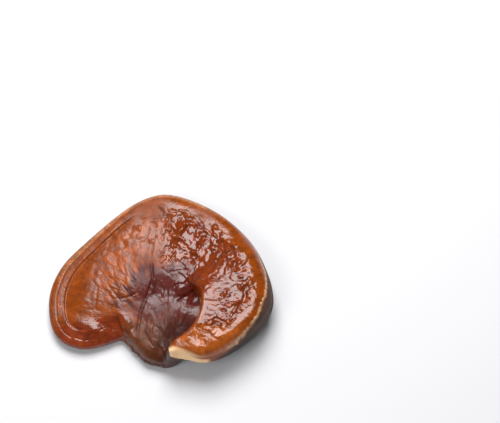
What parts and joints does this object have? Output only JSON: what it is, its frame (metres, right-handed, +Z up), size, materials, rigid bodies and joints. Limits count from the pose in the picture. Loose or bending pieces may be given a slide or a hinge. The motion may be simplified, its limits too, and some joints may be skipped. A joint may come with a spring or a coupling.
{
  "type": "reishi mushroom",
  "caption": "Kidney-shaped bracket mushroom with a wrinkled lacquered cap, a blunt rounded margin and a short stem at its notch, lying on its flat pore side.",
  "frame": {"origin": "centre of the mushroom's box in plan, on the surface it lies on", "axes": "+X across the cap to its raised right lobe, +Y from the stem's cut end to the far margin, +Z up out of the varnished side"},
  "size_m": [0.1138, 0.0944, 0.025],
  "materials": {
    "lacquered_crust": "gloss"
  },
  "bodies": {
    "root": {"reishi_mushroom": "lacquered_crust"}
  },
  "joints": []
}
